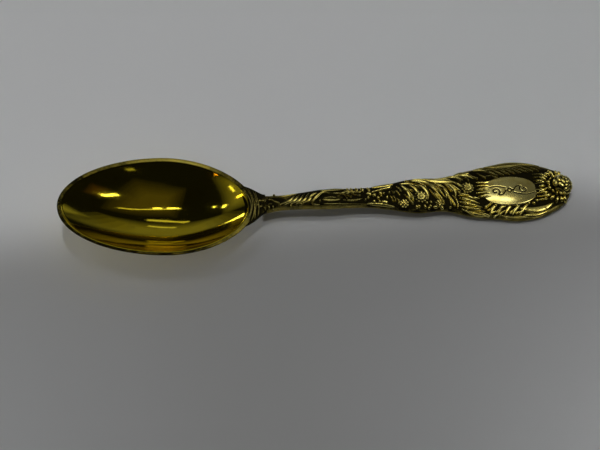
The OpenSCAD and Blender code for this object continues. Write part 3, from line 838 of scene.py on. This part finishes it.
def finial_petals():
    """Two tiers of ray petals behind the button, the lower and longer first."""
    r = Relief()
    for count, inner, outer, half_w, height, base in RAY_TIERS:
        for i in range(count):
            angle = math.radians(RAY_SPREAD * (2 * i / (count - 1) - 1))
            share = abs(angle) / math.radians(RAY_SPREAD)
            shrink = 1 - RAY_SHRINK * share**2
            reach = outer * shrink * (0.92 if i % 2 else 1.0)
            radii = np.linspace(inner * shrink, reach, 3)
            swing = angle + 0.07 * math.sin(5 * i) * np.array([0, 0.6, 1])
            path = np.stack([BUTTON_D - radii * np.cos(swing), radii * np.sin(swing)], -1)
            r.blade(path, half_w * (1 + 0.2 * math.sin(2.3 * i)), height * (1 + 0.2 * math.sin(3 * i + 1)),
                    form="blade", section="round", base=base)
    return r


BUTTON_TILT = math.radians(32)
BUTTON_R = 3.2
BUTTON_REACH = 1.06  # from its middle to the spoon's end, in radii
BUTTON_SCALE = np.array([1, 1.04, 0.86])
BUTTON_SIDES, BUTTON_RINGS = 200, 130
BUTTON_HOLLOW, BUTTON_BUMP = 0.93, 0.10  # the radius between the lobes and their rise, as shares of it
# Rings of lobes: angle from the top, number, strength, width
BUTTON_LOBES = [(0.16, 3, 0.9, 0.15), (0.50, 5, 1.0, 0.19), (0.92, 7, 1.0, 0.22), (1.50, 6, 0.95, 0.36)]


def finial_button(material):
    """The tilted bud at the end: rings of curled lobes closing towards its middle."""
    centre = np.array([END_X - BUTTON_R * BUTTON_REACH, (BUTTON_LOW[1] + BUTTON_HIGH[1]) / 2, BUTTON_R])
    rings, relief = [], []
    around = full_turn(BUTTON_SIDES)
    for polar in np.linspace(0.02, math.pi - 0.02, BUTTON_RINGS):
        bump = np.zeros_like(around)
        for order, (middle, lobes, strength, width) in enumerate(BUTTON_LOBES):
            swirl = around + 0.5 * (polar - middle) + order * 0.35
            lobe = np.abs(np.cos(lobes * swirl / 2)) ** 0.7
            bump = np.maximum(bump, strength * lobe * math.exp(-((polar - middle) / width) ** 2))
        radius = BUTTON_R * (BUTTON_HOLLOW + BUTTON_BUMP * bump)
        flat = np.stack([radius * math.sin(polar) * np.cos(around), radius * math.sin(polar) * np.sin(around),
                         radius * math.cos(polar)], -1) * BUTTON_SCALE
        c, s = math.cos(BUTTON_TILT), math.sin(BUTTON_TILT)
        rings.append(centre + np.stack([flat[:, 0] * c + flat[:, 2] * s, flat[:, 1],
                                        flat[:, 2] * c - flat[:, 0] * s], -1))
        relief.append(np.clip(bump * 1.15 - 0.15, 0, 1))
    points, faces = skin(rings)
    points[:, 2] = np.maximum(points[:, 2], 0)
    return make_piece("finial_button_bud", points, faces, material, "finial_button",
                      np.append(np.concatenate(relief), [1.0, 0.5]))


# ------------ materials
class Shader:
    """Adds nodes to one material and joins them up."""

    def __init__(self, name):
        self.material = bpy.data.materials.new(name)
        self.material.use_nodes = True
        self.nodes = self.material.node_tree.nodes
        self.links = self.material.node_tree.links
        self.surface = next(n for n in self.nodes if n.type == "BSDF_PRINCIPLED")
        self.places = self.add("ShaderNodeTexCoord").outputs["Object"]

    def add(self, kind, **settings):
        node = self.nodes.new(kind)
        for key, value in settings.items():
            setattr(node, key, value)
        return node

    def join(self, source, target):
        self.links.new(source, target)

    def noise(self, size_mm, detail=3.0, rough=0.5, stretch=(1, 1, 1)):
        """Noise whose features are about size_mm across."""
        spread = self.add("ShaderNodeMapping")
        spread.inputs["Scale"].default_value = stretch
        noise = self.add("ShaderNodeTexNoise")
        noise.inputs["Scale"].default_value = 1 / (size_mm * MM)
        noise.inputs["Detail"].default_value = detail
        noise.inputs["Roughness"].default_value = rough
        self.join(self.places, spread.inputs["Vector"])
        self.join(spread.outputs["Vector"], noise.inputs["Vector"])
        return noise.outputs[0]

    def spread(self, value, low, high, to_low=0.0, to_high=1.0):
        """The value's range low to high, mapped on to another range."""
        node = self.add("ShaderNodeMapRange")
        for key, number in (("From Min", low), ("From Max", high), ("To Min", to_low), ("To Max", to_high)):
            node.inputs[key].default_value = number
        self.join(value, node.inputs["Value"])
        return node.outputs["Result"]

    def maths(self, operation, a, b):
        node = self.add("ShaderNodeMath", operation=operation)
        for slot, value in enumerate((a, b)):
            if isinstance(value, (int, float)):
                node.inputs[slot].default_value = value
            else:
                self.join(value, node.inputs[slot])
        return node.outputs[0]

    def mixed(self, share, low, high):
        """A colour between two others; each is a colour or an output."""
        node = self.add("ShaderNodeMix", data_type="RGBA")
        self.join(share, node.inputs["Factor"])
        for socket, value in ((node.inputs[6], low), (node.inputs[7], high)):
            if isinstance(value, tuple):
                socket.default_value = (*value, 1)
            else:
                self.join(value, socket)
        return node.outputs[2]

    def bump(self, height, strength, distance_mm, under=None):
        node = self.add("ShaderNodeBump")
        node.inputs["Strength"].default_value = strength
        node.inputs["Distance"].default_value = distance_mm * MM
        self.join(height, node.inputs["Height"])
        if under is not None:
            self.join(under, node.inputs["Normal"])
        return node.outputs["Normal"]

    def finish(self, colour, roughness, normal, metallic=1.0):
        self.join(colour, self.surface.inputs["Base Color"])
        self.join(roughness, self.surface.inputs["Roughness"])
        self.join(normal, self.surface.inputs["Normal"])
        self.surface.inputs["Metallic"].default_value = metallic
        return self.material


def bowl_gilt():
    """Polished gilding, worn into soft smears, with fine wiping scratches."""
    s = Shader("bowl_gilt")
    smear = s.noise(9, 4, 0.6, (0.7, 1, 1))
    blotch = s.noise(3.2, 3)
    scratch = s.noise(0.9, 2, 0.6, (0.05, 1, 1))
    cross = s.noise(1.1, 2, 0.6, (1, 0.07, 1))
    colour = s.mixed(s.spread(smear, 0.35, 0.68), (0.88, 0.66, 0.022), (0.94, 0.76, 0.050))
    colour = s.mixed(s.spread(blotch, 0.56, 0.74, 0, 0.35), colour, (0.64, 0.47, 0.03))
    rough = s.maths("ADD", s.spread(smear, 0.3, 0.75, 0.04, 0.10), s.spread(scratch, 0.5, 0.75, 0, 0.05))
    fine = s.maths("ADD", scratch, s.maths("MULTIPLY", cross, 0.6))
    wave = s.bump(s.noise(6.5, 2), 0.22, 0.10)
    return s.finish(colour, rough, s.bump(fine, 0.10, 0.012, wave))


TARNISH = (0.84, 0.78, 0.62)  # what the duller patches keep of each colour
DARK_ROUGH = 0.58


def relief_gilt(name, bright, dark, low, high, rough=(0.13, 0.22)):
    """Gilding rubbed bright on the ridges and left dark with age in the recesses; on the rim's edging the
    same share carries painted light and shade by angle instead.
    """
    s = Shader(name)
    height = s.add("ShaderNodeAttribute", attribute_name="relief").outputs["Fac"]
    grain = s.noise(0.55, 4, 0.6)
    patch = s.noise(2.6, 3)
    share = s.maths("ADD", height, s.spread(grain, 0.3, 0.7, -0.08, 0.08))
    share = s.maths("ADD", share, s.spread(patch, 0.3, 0.7, -0.12, 0.12))
    rubbed = s.spread(share, low, high)
    worn = s.mixed(s.spread(patch, 0.4, 0.66), bright, tuple(c * k for c, k in zip(bright, TARNISH)))
    colour = s.mixed(rubbed, dark, worn)
    roughness = s.maths("ADD", s.spread(rubbed, 0, 1, DARK_ROUGH, rough[0]),
                        s.spread(grain, 0.35, 0.7, 0, rough[1] - rough[0]))
    return s.finish(colour, roughness, s.bump(grain, 0.10, 0.02, s.bump(patch, 0.2, 0.06)))


GILT = (0.86, 0.74, 0.20)
PATINA = (0.012, 0.010, 0.003)


def shade(share):
    """The gilding's colour darkened to this share of its brightness: painted shade for parts that catch less
    light than the rest.
    """
    return tuple(share * c for c in GILT)


# ------------ the spoon
def build_spoon():
    gilt = relief_gilt("relief_gilt", GILT, PATINA, 0.22, 0.66)
    # Swirl, stem, far border and heel take copies of the gilding darkened by shade(): painted shade where
    # these parts catch less light
    swirl = relief_gilt("swirl_gilt_painted_shade", shade(0.75), PATINA, 0.22, 0.66)
    stem = relief_gilt("stem_gilt_painted_shade", shade(0.30), PATINA, 0.18, 0.62)
    far_border = relief_gilt("border_gilt_painted_shade", shade(0.28), PATINA, 0.18, 0.62)
    ground = relief_gilt("handle_ground", (0.44, 0.37, 0.09), PATINA, 0.30, 0.62, (0.3, 0.45))
    plate = relief_gilt("plate_gilt", (0.56, 0.49, 0.17), PATINA, 0.25, 0.6, (0.15, 0.20))
    heel = relief_gilt("handle_gilt", shade(0.45), PATINA, 0.25, 0.62)
    petal = relief_gilt("flower_gilt", GILT, PATINA, 0.42, 0.86)

    ornaments = [
        ("stem_leaves", stem_leaves(), stem),
        ("sprig_buds", sprig_buds(), swirl),
        ("swirl_leaves", swirl_leaves(), swirl),
        ("far_border_leaves", far_border_leaves(), far_border),
        ("near_border_leaves", near_border_leaves(), gilt),
        ("flower_large", flower((0.515 * HANDLE_L, -1.6), 0.9, 11, 9, 0.2), petal),
        ("flower_upper", flower((0.666 * HANDLE_L, 0.9), 0.9, 11, 9, 0.5), petal),
        ("flower_small", flower((0.461 * HANDLE_L, -3.5), 0.62, 8, 5, 0.1, 10), petal),
        ("flower_side", flower((0.57 * HANDLE_L, -3.9), 0.58, 8, 5, 0.4, 10), petal),
        ("finial_petals", finial_petals(), gilt)]
    cartouche(plate)
    around = blurred(height_map, 7)
    for node, relief, material in ornaments:
        ending = "head" if node.startswith("flower") else "cast"
        relief.build(f"{node}_{ending}", material, node, "relief_gilt", around)
    handle_body(ground, around)
    heel_collar(heel)
    heel_drop(heel)
    finial_button(gilt)
    bowl_shell(bowl_gilt())
    # the rim's edging gets its painted light and shade through this material's relief share
    bowl_rim(relief_gilt("rim_gilt_painted_light", (0.84, 0.70, 0.12), PATINA, 0.1, 0.9, (0.26, 0.40)))


# ------------ floor, light and camera
def pieces_but(name, *left_out):
    """A collection of all pieces but the ones left out, for linking lights to."""
    chosen = bpy.data.collections.new(name)
    for piece in bpy.context.scene.collection.objects:
        if piece.type == "MESH" and piece.name not in left_out:
            chosen.objects.link(piece)
    return chosen


def floor():
    """The sheet of pale grey paper that the spoon lies on."""
    mesh = bpy.data.meshes.new("floor")
    half = 3.0
    corners = [(-half, -half, 0), (half, -half, 0), (half, half, 0), (-half, half, 0)]
    mesh.from_pydata(corners, [], [(0, 1, 2, 3)])
    piece = bpy.data.objects.new("floor", mesh)
    bpy.context.scene.collection.objects.link(piece)
    s = Shader("floor_paper")
    colour = s.mixed(s.noise(140, 2), (0.72, 0.735, 0.745), (0.76, 0.77, 0.775))
    rough = s.spread(s.noise(1.5, 2), 0.3, 0.7, 0.85, 0.95)
    mesh.materials.append(s.finish(colour, rough, s.bump(s.noise(0.8, 3), 0.05, 0.02), 0.0))


WHITE = (1, 1, 1)
WARM = (1.0, 0.86, 0.62)


def area_light(name, place, target, size, power, colour=WHITE):
    """A rectangular lamp at a place, turned to a target."""
    data = bpy.data.lights.new(name, "AREA")
    data.shape = "RECTANGLE"
    data.size, data.size_y = size
    data.energy = power
    data.color = colour
    lamp = bpy.data.objects.new(name, data)
    lamp.location = place
    lamp.rotation_euler = (Vector(target) - Vector(place)).to_track_quat("-Z", "Y").to_euler()
    bpy.context.scene.collection.objects.link(lamp)
    return lamp


STAND = Vector((-0.045, 0, 0.008))  # where the panels' directions are measured from
PANEL_AWAY = 1.2


def panel(name, azimuth, elevation, wide, tall, radiance, colour=WHITE, roll=0.0, layers=1):
    """A soft panel seen from the bowl in that direction; angles are in degrees, azimuth from +Y to +X.

    Several layers, each smaller than the last, soften its edge.
    """
    az, el = math.radians(azimuth), math.radians(elevation)
    way = Vector((math.cos(el) * math.sin(az), math.cos(el) * math.cos(az), math.sin(el)))
    for layer in range(layers):
        part = 1 - 0.75 * layer / layers
        size = [2 * PANEL_AWAY * math.tan(math.radians(angle) / 2) * part for angle in (wide, tall)]
        lamp = area_light(f"{name}_{layer}", STAND + way * (PANEL_AWAY + 0.01 * layer), STAND, size,
                          radiance / layers * math.pi * size[0] * size[1], colour)
        lamp.rotation_euler.rotate_axis("Z", math.radians(roll))
        yield lamp


SOFT = 6  # layers of a panel whose edge must not show
PANELS = [
    ("far_wall", 3, 30, 80, 42, 0.12, WHITE, 0, SOFT), ("far_band_high", 13, 53.5, 20, 2.2, 0.6),
    ("far_band_low", 14, 42, 11, 2.5, 0.4), ("right_wall", 50, 17, 16, 18, 0.16, WHITE, 0, SOFT),
    ("ceiling_wash", 105, 72, 60, 40, 0.05, WARM, 0, SOFT),
    ("ceiling_lamp", 102, 51.0, 9, 1.7, 7.5, WHITE, -42),
    ("right_brown", 103, 45, 18, 10, 0.035, (1, 0.5, 0.2), 0, SOFT),
    ("left_window", -27, 10, 17, 6, 3.5, WHITE, -15), ("left_lamp", -65, 50, 5, 3, 3.5),
    ("left_spot", -67, 60, 2.2, 2.2, 4.0), ("left_wash", -90, 34, 70, 40, 0.14, WHITE, 0, SOFT),
    ("left_streak", -102, 43, 11, 1.4, 1.6), ("left_glow", -80, 38, 4, 7, 3.2, WARM),
    ("back_spot", -136, 38, 2.6, 2, 4.0, (1, 0.5, 0.1)), ("back_wash", 151, 36, 3.5, 2, 0.3)]


def ceiling_strip(name, start, end, width, radiance):
    """A strip on the ceiling between two places given as (x, y) per unit of height."""
    height = 1.1
    a, b = (STAND + Vector((x, y, 1)) * height for x, y in (start, end))
    size = ((b - a).length, width)
    lamp = area_light(name, (a + b) / 2, (a + b) / 2 - Vector((0, 0, 1)), size,
                      radiance * math.pi * size[0] * size[1])
    lamp.rotation_euler = (0, 0, math.atan2(b.y - a.y, b.x - a.x))
    return lamp


HANDLE_PANELS = [  # these light neither the bowl's shell nor the floor
    ("handle_far", 0, 48, 90, 50, 0.16, WHITE, 0, SOFT), ("handle_top", 60, 80, 30, 30, 1.3, WHITE, 0, SOFT),
    ("handle_right", 98, 52, 34, 22, 5.0, WHITE, 0, SOFT), ("handle_left", -40, 58, 20, 14, 2.5),
    ("handle_plate", 23, 63.5, 20, 7, 4.0)]


ROOM_GLOW = 0.005
CEILING_STRIPS = [
    ("ceiling_tube", (0.69, 0.27), (0.0, 0.16), 0.025, 1.0),
    ("ceiling_tube_mid", (0.31, 0.17), (0.25, 0.16), 0.03, 5.0),
    ("ceiling_tube_end", (0.19, 0.16), (0.02, 0.15), 0.03, 7.0)]


def lights():
    """The room seen in the bowl, the lamps of the handle, and the soft light on the floor."""
    handle_lit = pieces_but("handle_lit", "bowl_shell", "floor")
    handle_only = pieces_but("handle_only", "bowl_shell", "bowl_rim_band", "heel_collar_cast",
                             "heel_drop_cast", "floor")
    world = bpy.data.worlds.new("room")
    bpy.context.scene.world = world
    world.use_nodes = True
    back = world.node_tree.nodes["Background"]
    back.inputs["Color"].default_value = (0.9, 0.95, 1.0, 1)
    back.inputs["Strength"].default_value = ROOM_GLOW
    for row in PANELS:
        list(panel(*row))
    for row in CEILING_STRIPS:
        ceiling_strip(*row)
    for row in HANDLE_PANELS:
        for lamp in panel(*row):
            lamp.light_linking.receiver_collection = handle_lit
    unblocked = bpy.data.collections.new("unblocked")
    for name, place, target, size, power, spread, blockers in [
            ("near_soft", (-0.42, -0.47, 0.50), (0, 0, 0), (0.5, 0.5), 0.12, 180, None),
            ("stem_shade", (-0.10, -0.20, 0.90), (0, 0, 0), (0.10, 0.10), 0.86, 180, handle_only),
            ("bowl_shade", (-0.45, 0.18, 0.60), (0, 0, 0), (0.16, 0.16), 0.14, 180, None),
            ("near_right", (0.18, -0.30, 0.40), (0.13, -0.13, 0), (0.1, 0.1), 0.022, 28, unblocked),
            ("near_left", (-0.26, -0.25, 0.40), (-0.16, -0.09, 0), (0.1, 0.1), 0.008, 28, unblocked),
            ("far_wash", (0.02, 0.199, 0.40), (0.02, 0.199, 0), (0.70, 0.40), 0.215, 5, unblocked)]:
        lamp = area_light(name, place, target, size, power)
        lamp.data.spread = math.radians(spread)
        lamp.visible_glossy = False
        if blockers:
            lamp.light_linking.blocker_collection = blockers


YAW = math.radians(5.9)
ELEVATION = math.radians(54.7)
DISTANCE = 0.479
AIM = Vector((-0.0065, -0.0076, 0.005))


def camera():
    """The view from above the spoon's near side, at an angle."""
    data = bpy.data.cameras.new("camera")
    data.lens = 100
    data.sensor_width = 36
    data.clip_start = 0.01
    eye = bpy.data.objects.new("camera", data)
    away = Vector((-math.cos(ELEVATION) * math.sin(YAW), -math.cos(ELEVATION) * math.cos(YAW),
                   math.sin(ELEVATION)))
    eye.location = AIM + away * DISTANCE
    eye.rotation_euler = (-away).to_track_quat("-Z", "Y").to_euler()
    bpy.context.scene.collection.objects.link(eye)
    bpy.context.scene.camera = eye


camera()
build_spoon()
floor()
lights()
bpy.context.scene.view_settings.view_transform = "Standard"
